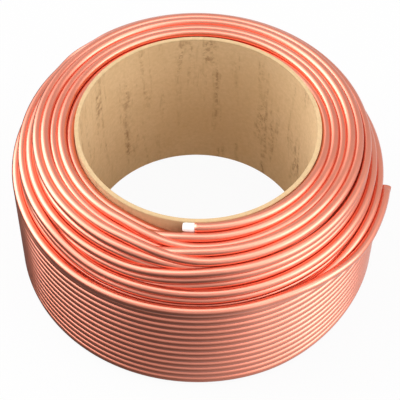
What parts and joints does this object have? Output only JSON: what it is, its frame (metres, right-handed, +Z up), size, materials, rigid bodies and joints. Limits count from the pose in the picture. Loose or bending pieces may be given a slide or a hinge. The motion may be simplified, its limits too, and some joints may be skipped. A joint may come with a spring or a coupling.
{
  "type": "copper tube coil",
  "caption": "Level-wound coil of soft copper tube on an open cardboard core, stood on its end, with a plugged inner end and a crimped outer end.",
  "frame": {"origin": "on the core's axis, in the plane that the coil stands on", "axes": "+Z up along the core's axis, +X to the right and -Y towards the near side in the picture"},
  "size_m": [0.3908, 0.3814, 0.1902],
  "materials": {
    "copper": "bright drawn copper, lightly scuffed, faint tarnish in the grooves",
    "cardboard": "brown kraft board, paler at the cut rims",
    "white_plastic": "plain white moulded plastic"
  },
  "bodies": {
    "root": {"copper_tube": "copper", "cardboard_core": "cardboard", "end_plug": "white_plastic"}
  },
  "joints": []
}
